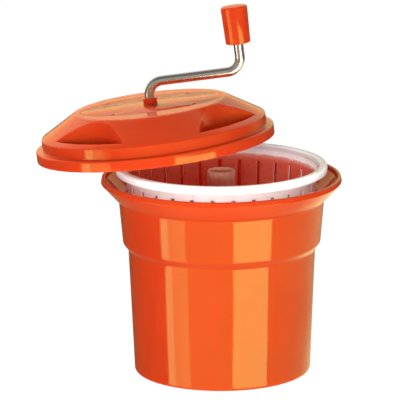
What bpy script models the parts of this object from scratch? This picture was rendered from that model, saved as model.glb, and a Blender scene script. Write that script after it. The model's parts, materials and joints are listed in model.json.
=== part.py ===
"""Hand-cranked salad spinner: bucket, slotted basket, and a lid with a crank and a step-up gear train.

Metres, +Z up. The origin is the centre of the bucket's underside. The lid lies tilted across the left
half of the basket, and everything it carries is drawn in the lid's own frame, whose origin is the
centre of its lower edge.
"""
import math
import bpy
import bmesh
from mathutils import Matrix, Vector

TAU = 2 * math.pi
MM = 0.001
GAP = 0.3 * MM  # between pieces that touch

# bucket
BASE_R = 122.6 * MM
BODY_TOP_R = 130 * MM
SHOULDER_Z = 173 * MM
SHOULDER_H = 13 * MM
COLLAR_R = 137.4 * MM
COLLAR_TOP_R = 142.5 * MM
COLLAR_TOP_Z = 244 * MM
MOUTH_R = 165 * MM
MOUTH_Z = 276 * MM
WALL = 3 * MM
FLOOR = 4 * MM
BOSS_R = 16 * MM
BOSS_TOP = 30 * MM
PIN_R = 4 * MM
PIN_FOOT = 11.5 * MM
PIN_TOP = 58 * MM

# basket
SLOTS = 29
SLOT_W = 5.5 * MM
SLOT_PHASE = math.radians(4)
BASKET_FLOOR_Z = 40 * MM
BASKET_FOOT_R = 112 * MM
BASKET_TOP_R = 131.7 * MM
BASKET_TOP_Z = 272.5 * MM
BASKET_WALL = 2.6 * MM
HUB_HOLE_R = 14 * MM
RIM_R = 147 * MM
RIM_LOW = 282 * MM
RIM_TOP = 293 * MM
SLOT_ROWS = ((52, 119), (127, 194.5), (202.5, 270.3))  # low and high end of each row, in mm
COLUMN_R = 19.2 * MM
COLUMN_TOP = 284 * MM
COLUMN_BORE = 16.2 * MM
COLUMN_HUB_TOP = 62 * MM
COLUMN_FOOT = 34.9 * MM
BEARING_R = 7.6 * MM
FLUTES = 12
FLUTE_DEPTH = 1.2 * MM

# lid, in its own frame
LID_PLACE = (-90 * MM, 0, 317.8 * MM)
LID_TILT_SIDE = math.radians(6.6)  # its right-hand side is up
LID_TILT_BACK = math.radians(2.1)  # its back is down
LID_YAW = math.radians(6)
BAND_R = 165.5 * MM
BAND_H = 15 * MM
TIER_R = 155.5 * MM
RIDGE_Z = 32 * MM
RIDGE_IN_R = 147.5 * MM
TOP_R = 106 * MM
TOP_Z = 60 * MM
LID_WALL = 3 * MM
TOP_WALL = 5.5 * MM
SCOOPS = 4
SCOOP_R = 75 * MM
SCOOP_OUT = 185 * MM
SCOOP_FLOOR = 26 * MM
PLATE_A = 97.5 * MM
PLATE_B = 68 * MM
PLATE_T = 3 * MM
SCREW_X = 56 * MM
SCREW_Y = 48 * MM
SCREW_HOLE_R = 1.9 * MM
SEAT_R = 3.3 * MM
SEAT_DEPTH = 2 * MM

# gear train, in the lid's frame
MODULE = 2.5 * MM
CRANK_TEETH = 24
PINION_TEETH = 12
WHEEL_TEETH = 22
OUTPUT_TEETH = 14
GEAR_CENTRES = MODULE * (CRANK_TEETH + PINION_TEETH) / 2
TRAY_FLOOR = 8 * MM
TRAY_TOP = TOP_Z - TOP_WALL - GAP
WHEEL_LOW = 14.5 * MM
WHEEL_TOP = 23.5 * MM
DRIVE_LOW = 25 * MM
DRIVE_TOP = 34 * MM
SOCKET_LOW = -19 * MM
SOCKET_TOP = 10 * MM
HUB_R = 24 * MM

# crank, in the lid's frame
ROD_R = 6.75 * MM
ARM_UP = 30.6 * MM
THROW = 130.2 * MM
BEND_R = 19 * MM
CRANK_YAW = math.radians(-3)
GRIP_LOW = TOP_Z + ARM_UP + 37.9 * MM
GRIP_H = 53.3 * MM
GRIP_LOW_R = 17 * MM
GRIP_TOP_R = 18.5 * MM


def clear_scene():
    for thing in list(bpy.data.objects):
        bpy.data.objects.remove(thing, do_unlink=True)


def material(name, colour, roughness, metallic=0.0):
    mat = bpy.data.materials.new(name)
    mat.use_nodes = True
    shader = mat.node_tree.nodes["Principled BSDF"]
    shader.inputs["Base Color"].default_value = (*colour, 1)
    shader.inputs["Roughness"].default_value = roughness
    shader.inputs["Metallic"].default_value = metallic
    mat.diffuse_color = (*colour, 1)
    return mat


def add(name, bm, mat, parent=None):
    """Makes an object from a bmesh, with its faces pointing out."""
    bmesh.ops.recalc_face_normals(bm, faces=bm.faces)
    mesh = bpy.data.meshes.new(name)
    bm.to_mesh(mesh)
    bm.free()
    mesh.shade_smooth()
    mesh.set_sharp_from_angle(angle=math.radians(35))
    thing = bpy.data.objects.new(name, mesh)
    bpy.context.collection.objects.link(thing)
    if mat:
        mesh.materials.append(mat)
    if parent:
        thing.parent = parent
    return thing


def empty(name, matrix, parent=None):
    thing = bpy.data.objects.new(name, None)
    bpy.context.collection.objects.link(thing)
    thing.parent = parent
    thing.matrix_local = matrix
    return thing


def turned(profile, segments=48):
    """Turns a closed (r, z) outline about Z. A point on the axis becomes one vertex."""
    bm = bmesh.new()
    rings = []
    for r, z in profile:
        if r < 1e-7:
            rings.append([bm.verts.new((0, 0, z))] * segments)
            continue
        angles = [TAU * k / segments for k in range(segments)]
        rings.append([bm.verts.new((r * math.cos(a), r * math.sin(a), z)) for a in angles])
    for i, low in enumerate(rings):
        high = rings[(i + 1) % len(rings)]
        for k in range(segments):
            n = (k + 1) % segments
            corners = list(dict.fromkeys((low[k], low[n], high[n], high[k])))
            if len(corners) > 2:
                bm.faces.new(corners)
    return bm


def circle(radius, steps, centre=(0, 0), start=0.0):
    points = []
    for k in range(steps):
        a = start + TAU * k / steps
        points.append((centre[0] + radius * math.cos(a), centre[1] + radius * math.sin(a)))
    return points


def oval(a, b, steps=40):
    return [(a * math.cos(TAU * k / steps), b * math.sin(TAU * k / steps)) for k in range(steps)]


def prism(outline, low, high):
    """An upright solid with the given (x, y) outline."""
    bm = bmesh.new()
    bottom = [bm.verts.new((x, y, low)) for x, y in outline]
    top = [bm.verts.new((x, y, high)) for x, y in outline]
    bm.faces.new(reversed(bottom))
    bm.faces.new(top)
    for k in range(len(outline)):
        n = (k + 1) % len(outline)
        bm.faces.new((bottom[k], bottom[n], top[n], top[k]))
    return bm


def apply_boolean(thing, tool_bm, operation, name="tool"):
    """Cuts, joins or keeps the common part of an object and a tool, exactly."""
    tool = add(name, tool_bm, None, thing.parent)
    tool.hide_render = True
    tool.display_type = "WIRE"
    change = thing.modifiers.new(name, "BOOLEAN")
    change.operation = operation
    change.solver = "EXACT"
    change.object = tool


def cut(thing, tool_bm, name="cutter"):
    apply_boolean(thing, tool_bm, "DIFFERENCE", name)


def join(thing, tool_bm, name="addition"):
    apply_boolean(thing, tool_bm, "UNION", name)


def rod(path, sides=14):
    """A round bar along (point, radius) pairs that lie in one XZ plane."""
    bm = bmesh.new()
    rings = []
    for i, (point, radius) in enumerate(path):
        before = path[max(i - 1, 0)][0]
        after = path[min(i + 1, len(path) - 1)][0]
        along = (Vector(after) - Vector(before)).normalized()
        side = Vector((0, 1, 0))
        up = side.cross(along)
        ring = []
        for k in range(sides):
            a = TAU * k / sides
            spot = Vector(point) + radius * (math.cos(a) * side + math.sin(a) * up)
            ring.append(bm.verts.new(spot))
        rings.append(ring)
    for low, high in zip(rings, rings[1:]):
        for k in range(sides):
            n = (k + 1) % sides
            bm.faces.new((low[k], low[n], high[n], high[k]))
    bm.faces.new(rings[0])
    bm.faces.new(rings[-1])
    return bm


def gear_outline(teeth, phase):
    """Stub involute teeth at 20 degrees; phase turns the first tooth away from +X."""
    pressure = math.radians(20)
    pitch_r = MODULE * teeth / 2
    base_r = pitch_r * math.cos(pressure)
    tip_r = pitch_r + 0.8 * MODULE
    root_r = pitch_r - 1.1 * MODULE
    play = 0.35 * MM

    def half_angle(radius):
        at = math.acos(min(1.0, base_r / radius))
        start = math.tan(pressure) - pressure
        return math.pi / (2 * teeth) - play / (2 * pitch_r) + start - (math.tan(at) - at)

    root_half = half_angle(max(root_r, base_r))
    tip_half = half_angle(tip_r)
    points = []
    for k in range(teeth):
        middle = phase + TAU * k / teeth
        flank = ((root_r, -root_half), (tip_r, -tip_half), (tip_r, tip_half), (root_r, root_half))
        for radius, turn in flank:
            points.append((radius * math.cos(middle + turn), radius * math.sin(middle + turn)))
    return points


def fluted(radius, steps_per_flute=4):
    points = []
    steps = FLUTES * steps_per_flute
    for k in range(steps):
        a = TAU * k / steps
        r = radius - FLUTE_DEPTH * (0.5 - 0.5 * math.cos(FLUTES * a))
        points.append((r * math.cos(a), r * math.sin(a)))
    return points


def ring(inner, outer, low, high, segments=20):
    return turned([(inner, low), (outer, low), (outer, high), (inner, high)], segments)


def clip_outline(inner, outer, centre):
    """A C-shaped retaining clip, open towards -Y."""
    points = []
    steps = 12
    start = math.radians(-65)
    sweep = math.radians(310)
    for radius, order in ((outer, range(steps + 1)), (inner, range(steps, -1, -1))):
        for k in order:
            a = start + sweep * k / steps
            points.append((centre[0] + radius * math.cos(a), centre[1] + radius * math.sin(a)))
    return points


# ---- bucket ----

def bucket_profile():
    """Up the outside, over the lip and down the inside to the pin's hole."""
    outside = [(0, 0), (BASE_R - 2.5 * MM, 0), (BASE_R - 0.7 * MM, 0.7 * MM), (BASE_R, 2.8 * MM)]
    outside += [(126.5 * MM, 95 * MM), (BODY_TOP_R - 0.2 * MM, SHOULDER_Z - 3 * MM)]
    outside += shoulder(BODY_TOP_R, COLLAR_R, SHOULDER_Z)
    outside += [(COLLAR_TOP_R, COLLAR_TOP_Z), (COLLAR_TOP_R + 1.5 * MM, COLLAR_TOP_Z + 1.6 * MM)]
    outside += [(147.6 * MM, 248.4 * MM), (157 * MM, 258.6 * MM), (164.6 * MM, 267.4 * MM)]
    lip = [(166.8 * MM, 268.6 * MM), (MOUTH_R + 0.6 * MM, 274.8 * MM), (MOUTH_R - 0.6 * MM, MOUTH_Z)]
    lip += [(162.6 * MM, MOUTH_Z), (161.4 * MM, 274.6 * MM)]
    inside = [(160.8 * MM, 268 * MM), (153.4 * MM, 258.8 * MM), (145 * MM, 250 * MM)]
    inside += [(COLLAR_TOP_R - WALL, COLLAR_TOP_Z + 0.5 * MM)]
    inside += list(reversed(shoulder(BODY_TOP_R - WALL, COLLAR_R - WALL, SHOULDER_Z + 1 * MM)))
    inside += [(123.5 * MM, 95 * MM), (BASE_R - WALL, FLOOR + 3 * MM), (BASE_R - WALL - 3 * MM, FLOOR)]
    boss = [(BOSS_R + 1 * MM, FLOOR), (BOSS_R, FLOOR + 1 * MM), (BOSS_R, BOSS_TOP)]
    boss += [(PIN_R + GAP, BOSS_TOP), (PIN_R + GAP, PIN_FOOT - GAP), (0, PIN_FOOT - GAP)]
    return outside + lip + inside + boss


def shoulder(inner, outer, z, steps=4):
    """A soft S-shaped shoulder from the lower wall out to the collar."""
    points = []
    for k in range(steps + 1):
        swing = 0.5 - 0.5 * math.cos(math.pi * k / steps)
        points.append((inner + (outer - inner) * swing, z + SHOULDER_H * k / steps))
    return points


def make_bucket(mats):
    add("bucket", turned(bucket_profile(), 40), mats["orange"])
    pin = [(0, PIN_FOOT), (PIN_R, PIN_FOOT), (PIN_R, PIN_TOP - 2 * MM)]
    pin += [(PIN_R - 2 * MM, PIN_TOP), (0, PIN_TOP)]
    add("pivot_pin", turned(pin, 20), mats["steel"])
    low = BOSS_TOP + GAP
    add("pivot_washer", ring(PIN_R + 0.5 * MM, 13 * MM, low, low + 2 * MM), mats["nylon"])


# ---- basket ----

def basket_angles():
    """Angles of the upright edges: each pitch is one slot and one plain panel."""
    pitch = TAU / SLOTS
    half = SLOT_W / BASKET_TOP_R / 2
    angles = []
    for k in range(SLOTS):
        middle = SLOT_PHASE + k * pitch
        angles += [middle - half, middle + half]
    return angles


def basket_wall_r(z):
    """Outer radius of the wall at a height."""
    t = (z - BASKET_FLOOR_Z) / (BASKET_TOP_Z - BASKET_FLOOR_Z)
    return BASKET_FOOT_R + (BASKET_TOP_R - BASKET_FOOT_R) * t


def basket_skins():
    """Matching outer and inner (r, z) points; a row between two marked points is open at the slots."""
    floor_top = BASKET_FLOOR_Z + WALL
    inner_foot = BASKET_FOOT_R - BASKET_WALL
    pairs = []
    for r in (HUB_HOLE_R, 40 * MM, 95 * MM):
        pairs.append(((r, BASKET_FLOOR_Z), (r, floor_top)))
    pairs += [((BASKET_FOOT_R - 3 * MM, BASKET_FLOOR_Z), (inner_foot - 1.2 * MM, floor_top))]
    pairs += [((BASKET_FOOT_R, BASKET_FLOOR_Z + 4 * MM), (inner_foot, floor_top + 2 * MM))]
    open_rows = {1}
    for low, high in SLOT_ROWS:
        open_rows.add(len(pairs))
        for z in (low * MM, high * MM):
            r = basket_wall_r(z)
            pairs.append(((r, z), (r - BASKET_WALL, z)))
    rim_in = 137.2 * MM
    pairs += [((134.4 * MM, 283 * MM), (131.6 * MM, 281 * MM))]
    pairs += [((134.6 * MM, 290 * MM), (136 * MM, 291.4 * MM))]
    pairs += [((RIM_R - 3 * MM, 290 * MM), (rim_in + 1.4 * MM, RIM_TOP))]
    pairs += [((RIM_R - 3 * MM, RIM_LOW), (RIM_R - 3 * MM, RIM_TOP))]
    pairs += [((RIM_R - 0.8 * MM, RIM_LOW), (RIM_R, RIM_TOP - 3 * MM))]
    return pairs, open_rows


def make_basket(mats):
    pairs, open_rows = basket_skins()
    angles = basket_angles()
    count = len(angles)
    bm = bmesh.new()
    skins = []
    for side in (0, 1):
        rows = []
        for pair in pairs:
            r, z = pair[side]
            rows.append([bm.verts.new((r * math.cos(a), r * math.sin(a), z)) for a in angles])
        skins.append(rows)
    for i in range(len(pairs) - 1):
        for k in range(count):
            n = (k + 1) % count
            if i in open_rows and k % 2 == 0:
                frame_slot(bm, skins, i, k, n)
                continue
            for rows in skins:
                bm.faces.new((rows[i][k], rows[i][n], rows[i + 1][n], rows[i + 1][k]))
    for i in (0, -1):
        for k in range(count):
            n = (k + 1) % count
            bm.faces.new((skins[0][i][k], skins[0][i][n], skins[1][i][n], skins[1][i][k]))
    add("basket", bm, mats["white"])
    make_column(mats)
    make_basket_bearing(mats)


def frame_slot(bm, skins, i, k, n):
    """The four faces that line one slot, from the outer skin to the inner one."""
    loop = ((i, k), (i, n), (i + 1, n), (i + 1, k))
    for (row_a, col_a), (row_b, col_b) in zip(loop, loop[1:] + loop[:1]):
        outer, inner = skins
        bm.faces.new((outer[row_a][col_a], outer[row_b][col_b], inner[row_b][col_b], inner[row_a][col_a]))


def make_column(mats):
    """A fluted tube whose solid foot passes through the basket's floor and holds the bearing."""
    low = BASKET_FLOOR_Z + WALL + GAP
    column = add("basket_column", prism(fluted(COLUMN_R), low, COLUMN_TOP), mats["white"])
    join(column, prism(circle(HUB_HOLE_R - GAP, 24), COLUMN_FOOT, low + MM), "column_foot")
    cut(column, prism(circle(COLUMN_BORE, 24), COLUMN_HUB_TOP, COLUMN_TOP + MM), "column_bore")
    cut(column, prism(circle(BEARING_R + GAP, 20), COLUMN_FOOT - MM, COLUMN_HUB_TOP + MM), "bearing_bore")


def make_basket_bearing(mats):
    flange_low = BOSS_TOP + 2 * GAP + 2 * MM
    body_low = COLUMN_FOOT - GAP
    bore = PIN_R + GAP
    outline = [(bore, flange_low), (12 * MM, flange_low), (12 * MM, body_low), (BEARING_R, body_low)]
    outline += [(BEARING_R, COLUMN_HUB_TOP - MM), (bore, COLUMN_HUB_TOP - MM)]
    add("basket_bearing", turned(outline, 24), mats["nylon"])


# ---- lid ----

def lid_outside():
    """The lid's outer (r, z) outline, from the middle of the top down to the lower edge."""
    edge = [(0, TOP_Z), (TOP_R - 1.5 * MM, TOP_Z), (TOP_R + 1.5 * MM, TOP_Z - 1.1 * MM)]
    slope = [(126 * MM, 47.8 * MM), (RIDGE_IN_R + 1.5 * MM, RIDGE_Z + 1.4 * MM)]
    ridge = [(TIER_R - 1.6 * MM, RIDGE_Z - 0.2 * MM), (TIER_R, RIDGE_Z - 2.4 * MM)]
    step = [(TIER_R + 0.6 * MM, BAND_H + 1.2 * MM), (TIER_R + 2 * MM, BAND_H + 0.1 * MM)]
    band = [(BAND_R - 2.6 * MM, BAND_H), (BAND_R - 0.5 * MM, BAND_H - 1.8 * MM), (BAND_R, BAND_H - 4 * MM)]
    return edge + slope + ridge + step + band + [(BAND_R, 0.6 * MM), (BAND_R - 0.6 * MM, 0), (0, 0)]


def lid_inside():
    """The hollow under the lid, which runs out below the lower edge."""
    under = TOP_Z - TOP_WALL
    top = [(0, under), (TOP_R - 3 * MM, under), (124 * MM, 45 * MM), (145.6 * MM, 31 * MM)]
    tier = [(TIER_R - LID_WALL, 28 * MM), (TIER_R - LID_WALL + 0.6 * MM, BAND_H - 1.6 * MM)]
    band = [(BAND_R - LID_WALL, BAND_H - 4 * MM), (BAND_R - LID_WALL, -5 * MM), (0, -5 * MM)]
    return top + tier + band


def scoop_outline(grow):
    """Where a round scoop meets the disc inside the ridge, swollen by grow."""
    radius = SCOOP_R + grow
    limit = RIDGE_IN_R + 2 * grow
    meet_x = (limit ** 2 + SCOOP_OUT ** 2 - radius ** 2) / (2 * SCOOP_OUT)
    meet_y = math.sqrt(limit ** 2 - meet_x ** 2)
    wide = math.atan2(meet_y, meet_x)
    turn = math.atan2(meet_y, meet_x - SCOOP_OUT)
    steps = 6
    front = [wide * (2 * k / steps - 1) for k in range(steps)]
    points = [(limit * math.cos(a), limit * math.sin(a)) for a in front]
    for k in range(steps):
        a = turn + (TAU - 2 * turn) * k / steps
        points.append((SCOOP_OUT + radius * math.cos(a), radius * math.sin(a)))
    return points


def turned_outline(outline, angle):
    c = math.cos(angle)
    s = math.sin(angle)
    return [(x * c - y * s, x * s + y * c) for x, y in outline]


def make_lid_shell(mats, lid):
    shell = add("lid_shell", turned(lid_outside(), 48), mats["orange"], lid)
    hollow = add("lid_hollow", turned(lid_inside(), 48), None, lid)
    hollow.hide_render = True
    hollow.display_type = "WIRE"
    for k in range(SCOOPS):
        angle = TAU * (k + 0.5) / SCOOPS
        scoop = turned_outline(scoop_outline(0), angle)
        inner_scoop = turned_outline(scoop_outline(LID_WALL), angle)
        cut(shell, prism(scoop, SCOOP_FLOOR, TOP_Z + 10 * MM), f"scoop_{k + 1}")
        cut(hollow, prism(inner_scoop, SCOOP_FLOOR - LID_WALL, TOP_Z + 10 * MM), f"scoop_back_{k + 1}")
    change = shell.modifiers.new("hollow", "BOOLEAN")
    change.operation = "DIFFERENCE"
    change.solver = "EXACT"
    change.object = hollow
    recess = TOP_Z - PLATE_T - GAP
    cut(shell, prism(oval(PLATE_A, PLATE_B), recess, TOP_Z + MM), "plate_recess")
    cut(shell, prism(oval(PLATE_A - 9 * MM, PLATE_B - 9 * MM, 32), 30 * MM, TOP_Z + 2 * MM), "gear_opening")
    for x, y in screw_places():
        hole = circle(SCREW_HOLE_R, 12, (x, y))
        cut(shell, prism(hole, 50 * MM, TOP_Z + MM), "screw_hole")


def screw_places():
    return [(sx * SCREW_X, sy * SCREW_Y) for sx in (-1, 1) for sy in (-1, 1)]


def make_top_plate(mats, lid):
    low = TOP_Z - PLATE_T
    plate = add("top_plate", prism(oval(PLATE_A - GAP, PLATE_B - GAP), low, TOP_Z), mats["orange"], lid)
    cut(plate, prism(circle(10.5 * MM, 24), low - MM, TOP_Z + MM), "bush_hole")
    for number, (x, y) in enumerate(screw_places(), 1):
        head_low = TOP_Z - SEAT_DEPTH
        cut(plate, prism(circle(SEAT_R, 16, (x, y)), head_low, TOP_Z + MM), f"head_seat_{number}")
        cut(plate, prism(circle(SCREW_HOLE_R, 12, (x, y)), low - MM, TOP_Z), f"screw_way_{number}")
        make_screw(f"cover_screw_{number}", x, y, head_low + GAP, mats, lid)
    bush_low = 38.5 * MM
    outline = [(ROD_R + GAP, bush_low), (10.2 * MM, bush_low), (10.2 * MM, 54.6 * MM), (13.5 * MM, 54.6 * MM)]
    outline += [(13.5 * MM, low - GAP), (10.2 * MM, low - GAP), (10.2 * MM, TOP_Z), (ROD_R + GAP, TOP_Z)]
    add("crank_bush", turned(outline, 24), mats["nylon"], lid)


def make_screw(name, x, y, seat, mats, lid):
    """A pan-head screw with a cross cut, standing in the plate's head seat."""
    top = seat + 0.9 * MM
    shank = 1.5 * MM
    head = 2.9 * MM
    outline = [(0, 43.6 * MM), (shank, 44.6 * MM), (shank, seat), (head, seat), (head, top), (0, top)]
    bm = turned(outline, 16)
    bmesh.ops.translate(bm, verts=bm.verts, vec=(x, y, 0))
    screw = add(name, bm, mats["steel"], lid)
    arm = 1.7 * MM
    half = 0.28 * MM
    cross = []
    for k in range(4):
        corner = [(arm, -half), (arm, half), (half, half)]
        cross += turned_outline(corner, TAU * k / 4)
    cross = [(x + px, y + py) for px, py in cross]
    cut(screw, prism(cross, top - 0.45 * MM, top + MM), f"{name}_cross")


def make_gear_housing(mats, lid):
    """An oval tray with a flange under the lid's top, screw posts, and a bored floor."""
    wall = 2.5 * MM
    a = 82 * MM
    b = 54 * MM
    flange_low = TRAY_TOP - 2.5 * MM
    housing = add("gear_housing", prism(oval(a, b, 32), TRAY_FLOOR, TRAY_TOP), mats["grey"], lid)
    join(housing, prism(oval(94 * MM, 64 * MM, 32), flange_low, TRAY_TOP), "flange")
    for number, (x, y) in enumerate(screw_places(), 1):
        join(housing, prism(circle(5 * MM, 12, (x, y)), 42 * MM, TRAY_TOP - MM), f"post_{number}")
    for number, side in enumerate((-1, 1), 1):
        foot = circle(7 * MM, 16, (side * GEAR_CENTRES, 0))
        join(housing, prism(foot, 2 * MM, TRAY_FLOOR + MM), f"pin_foot_{number}")
    floor_top = TRAY_FLOOR + WALL
    cut(housing, prism(oval(a - wall, b - wall, 32), floor_top, TRAY_TOP + MM), "tray_hollow")
    cut(housing, prism(circle(27.5 * MM, 32), 0, 20 * MM), "hub_hole")
    for number, side in enumerate((-1, 1), 1):
        pad = circle(7 * MM, 16, (side * GEAR_CENTRES, 0))
        join(housing, prism(pad, floor_top - MM, WHEEL_LOW - GAP), f"pin_pad_{number}")
        pin_hole = circle(3.3 * MM, 16, (side * GEAR_CENTRES, 0))
        cut(housing, prism(pin_hole, 4 * MM, 20 * MM), f"pin_hole_{number}")
    for number, (x, y) in enumerate(screw_places(), 1):
        cut(housing, prism(circle(SCREW_HOLE_R, 12, (x, y)), 43 * MM, TRAY_TOP + MM), f"post_hole_{number}")


def make_gears(mats, lid):
    half_tooth = {teeth: math.pi / teeth for teeth in (PINION_TEETH, WHEEL_TEETH)}
    for name, side in (("left", -1), ("right", 1)):
        place = (side * GEAR_CENTRES, 0, 0)
        axis = empty(f"idler_axis_{name}", Matrix.Translation(place), lid)
        wheel = gear_outline(WHEEL_TEETH, half_tooth[WHEEL_TEETH])
        pinion = gear_outline(PINION_TEETH, half_tooth[PINION_TEETH])
        gear = add(f"idler_gear_{name}", prism(wheel, WHEEL_LOW, WHEEL_TOP), mats["nylon"], axis)
        join(gear, prism(pinion, WHEEL_TOP - MM, DRIVE_TOP + MM), "pinion")
        cut(gear, prism(circle(3.4 * MM, 20), WHEEL_LOW - MM, DRIVE_TOP + 2 * MM), "gear_bore")
        pin = [(0, 4.4 * MM), (3 * MM, 4.4 * MM), (3 * MM, 35.4 * MM), (2.4 * MM, 35.5 * MM)]
        pin += [(2.4 * MM, 36.7 * MM), (3 * MM, 36.8 * MM), (3 * MM, 38.4 * MM), (0, 38.4 * MM)]
        add(f"idler_pin_{name}", turned(pin, 20), mats["steel"], axis)
        clip = clip_outline(2.7 * MM, 5.5 * MM, (0, 0))
        add(f"idler_clip_{name}", prism(clip, 35.7 * MM, 36.5 * MM), mats["steel"], axis)
    drive = add("crank_gear", prism(gear_outline(CRANK_TEETH, 0), DRIVE_LOW, DRIVE_TOP), mats["nylon"], lid)
    join(drive, prism(circle(12 * MM, 24), DRIVE_TOP - MM, DRIVE_TOP + 4 * MM), "drive_boss")
    cut(drive, prism(circle(ROD_R + GAP, 20), DRIVE_LOW - MM, DRIVE_TOP + 5 * MM), "drive_bore")
    make_drive_hub(mats, lid)
    return drive


def make_drive_hub(mats, lid):
    flange_low = TRAY_FLOOR + WALL + GAP
    flange_top = flange_low + 2 * MM
    outline = [(0, SOCKET_LOW), (HUB_R - MM, SOCKET_LOW), (HUB_R, SOCKET_LOW + MM), (HUB_R, flange_low)]
    outline += [(26.5 * MM, flange_low), (26.5 * MM, flange_top), (0, flange_top)]
    hub = add("drive_hub", turned(outline, 32), mats["nylon"], lid)
    teeth = gear_outline(OUTPUT_TEETH, 0)
    join(hub, prism(teeth, flange_top - MM, WHEEL_TOP - 0.3 * MM), "output_teeth")
    cut(hub, prism(fluted(COLUMN_R + 0.8 * MM), SOCKET_LOW - MM, SOCKET_TOP), "socket")
    bush = [(HUB_R + GAP, 6.2 * MM), (30 * MM, 6.2 * MM), (30 * MM, TRAY_FLOOR - GAP)]
    bush += [(27.1 * MM, TRAY_FLOOR - GAP), (27.1 * MM, TRAY_FLOOR + WALL), (HUB_R + GAP, TRAY_FLOOR + WALL)]
    add("hub_bush", turned(bush, 24), mats["bronze"], lid)


# ---- crank ----

def crank_path():
    """The rod's centre line and radius, from its foot in the drive gear to its end in the grip."""
    arm_z = TOP_Z + ARM_UP
    end = GRIP_LOW + 41 * MM
    path = [((0, 0, 24.4 * MM), ROD_R), ((0, 0, arm_z - BEND_R), ROD_R)]
    steps = 6
    for k in range(1, steps + 1):
        a = math.pi / 2 * k / steps
        x = BEND_R * (1 - math.cos(a))
        path.append(((x, 0, arm_z - BEND_R + BEND_R * math.sin(a)), ROD_R))
    for k in range(steps + 1):
        a = math.pi / 2 * k / steps
        x = THROW - BEND_R + BEND_R * math.sin(a)
        path.append(((x, 0, arm_z + BEND_R * (1 - math.cos(a))), ROD_R))
    neck = 5.4 * MM
    groove = ((4, ROD_R), (3.9, neck), (2.5, neck), (2.4, ROD_R))
    for below, radius in groove:
        path.append(((THROW, 0, end - below * MM), radius))
    path.append(((THROW, 0, end - 0.8 * MM), ROD_R))
    path.append(((THROW, 0, end), ROD_R - 0.8 * MM))
    return path


def make_crank(mats, lid, drive_gear):
    crank = empty("crank_axis", Matrix.Rotation(CRANK_YAW, 4, "Z"), lid)
    arm = add("crank_arm", rod(crank_path()), mats["steel"], crank)
    pin_z = DRIVE_TOP + 2 * MM
    cut(arm, cross_bore(1.8 * MM, 30 * MM, pin_z), "pin_bore")
    cut(drive_gear, turned_bm(cross_bore(1.8 * MM, 30 * MM, pin_z), CRANK_YAW), "gear_pin_bore")
    add("crank_pin", cross_bore(1.5 * MM, 23 * MM, pin_z), mats["steel"], crank)
    collar_low = TOP_Z + GAP
    outline = [(ROD_R + GAP, collar_low), (9.7 * MM, collar_low), (9.7 * MM, collar_low + 7.7 * MM)]
    outline += [(9.1 * MM, collar_low + 8.5 * MM), (ROD_R + GAP, collar_low + 8.5 * MM)]
    add("crank_collar", turned(outline, 28), mats["red_orange"], crank)
    grip_axis = empty("grip_axis", Matrix.Translation((THROW, 0, 0)), crank)
    make_grip(mats, grip_axis)


def cross_bore(radius, length, z):
    """A round bar along Y at a height."""
    bm = prism(circle(radius, 12), -length / 2, length / 2)
    bmesh.ops.rotate(bm, verts=bm.verts, cent=(0, 0, 0), matrix=Matrix.Rotation(math.pi / 2, 3, "X"))
    bmesh.ops.translate(bm, verts=bm.verts, vec=(0, 0, z))
    return bm


def turned_bm(bm, angle):
    bmesh.ops.rotate(bm, verts=bm.verts, cent=(0, 0, 0), matrix=Matrix.Rotation(angle, 3, "Z"))
    return bm


def make_grip(mats, axis):
    bore = 9.3 * MM
    top = GRIP_LOW + GRIP_H
    roof = GRIP_LOW + 45 * MM
    outline = [(bore, GRIP_LOW), (GRIP_LOW_R - 1.6 * MM, GRIP_LOW)]
    outline += [(GRIP_LOW_R - 0.3 * MM, GRIP_LOW + 0.8 * MM), (GRIP_LOW_R, GRIP_LOW + 2.5 * MM)]
    outline += [(GRIP_TOP_R, top - 4 * MM), (GRIP_TOP_R - 0.8 * MM, top - 1.9 * MM)]
    outline += [(GRIP_TOP_R - 3 * MM, top - 0.8 * MM), (0, top), (0, roof), (bore, roof)]
    add("grip", turned(outline, 28), mats["orange"], axis)
    sleeve_low = GRIP_LOW + 0.5 * MM
    add("grip_sleeve", ring(ROD_R + GAP, 9 * MM, sleeve_low, GRIP_LOW + 36 * MM), mats["nylon"], axis)
    clip = clip_outline(5.8 * MM, 8.4 * MM, (0, 0))
    clip_low = GRIP_LOW + 37.4 * MM
    add("grip_clip", prism(clip, clip_low, clip_low + 0.8 * MM), mats["steel"], axis)


def main():
    clear_scene()
    mats = {
        "orange": material("orange_plastic", (0.86, 0.16, 0.01), 0.18),
        "red_orange": material("red_orange_plastic", (0.75, 0.05, 0.01), 0.25),
        "white": material("white_plastic", (0.88, 0.82, 0.80), 0.35),
        "nylon": material("nylon", (0.85, 0.84, 0.78), 0.45),
        "grey": material("grey_plastic", (0.55, 0.55, 0.55), 0.5),
        "steel": material("stainless_steel", (0.72, 0.71, 0.70), 0.22, 1.0),
        "bronze": material("bronze", (0.60, 0.42, 0.20), 0.35, 1.0),
    }
    make_bucket(mats)
    make_basket(mats)
    tilt = Matrix.Rotation(-LID_TILT_SIDE, 4, "Y") @ Matrix.Rotation(-LID_TILT_BACK, 4, "X")
    place = Matrix.Translation(LID_PLACE) @ tilt @ Matrix.Rotation(LID_YAW, 4, "Z")
    lid = empty("lid_frame", place)
    make_lid_shell(mats, lid)
    make_top_plate(mats, lid)
    make_gear_housing(mats, lid)
    drive_gear = make_gears(mats, lid)
    make_crank(mats, lid, drive_gear)


main()
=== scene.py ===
# Hand-cranked salad spinner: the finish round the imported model.
# Every length is in metres; mm is written where a value is easier to read in millimetres.
import json
import math

import bmesh
import bpy
import numpy as np
from mathutils import Matrix, Vector


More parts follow.
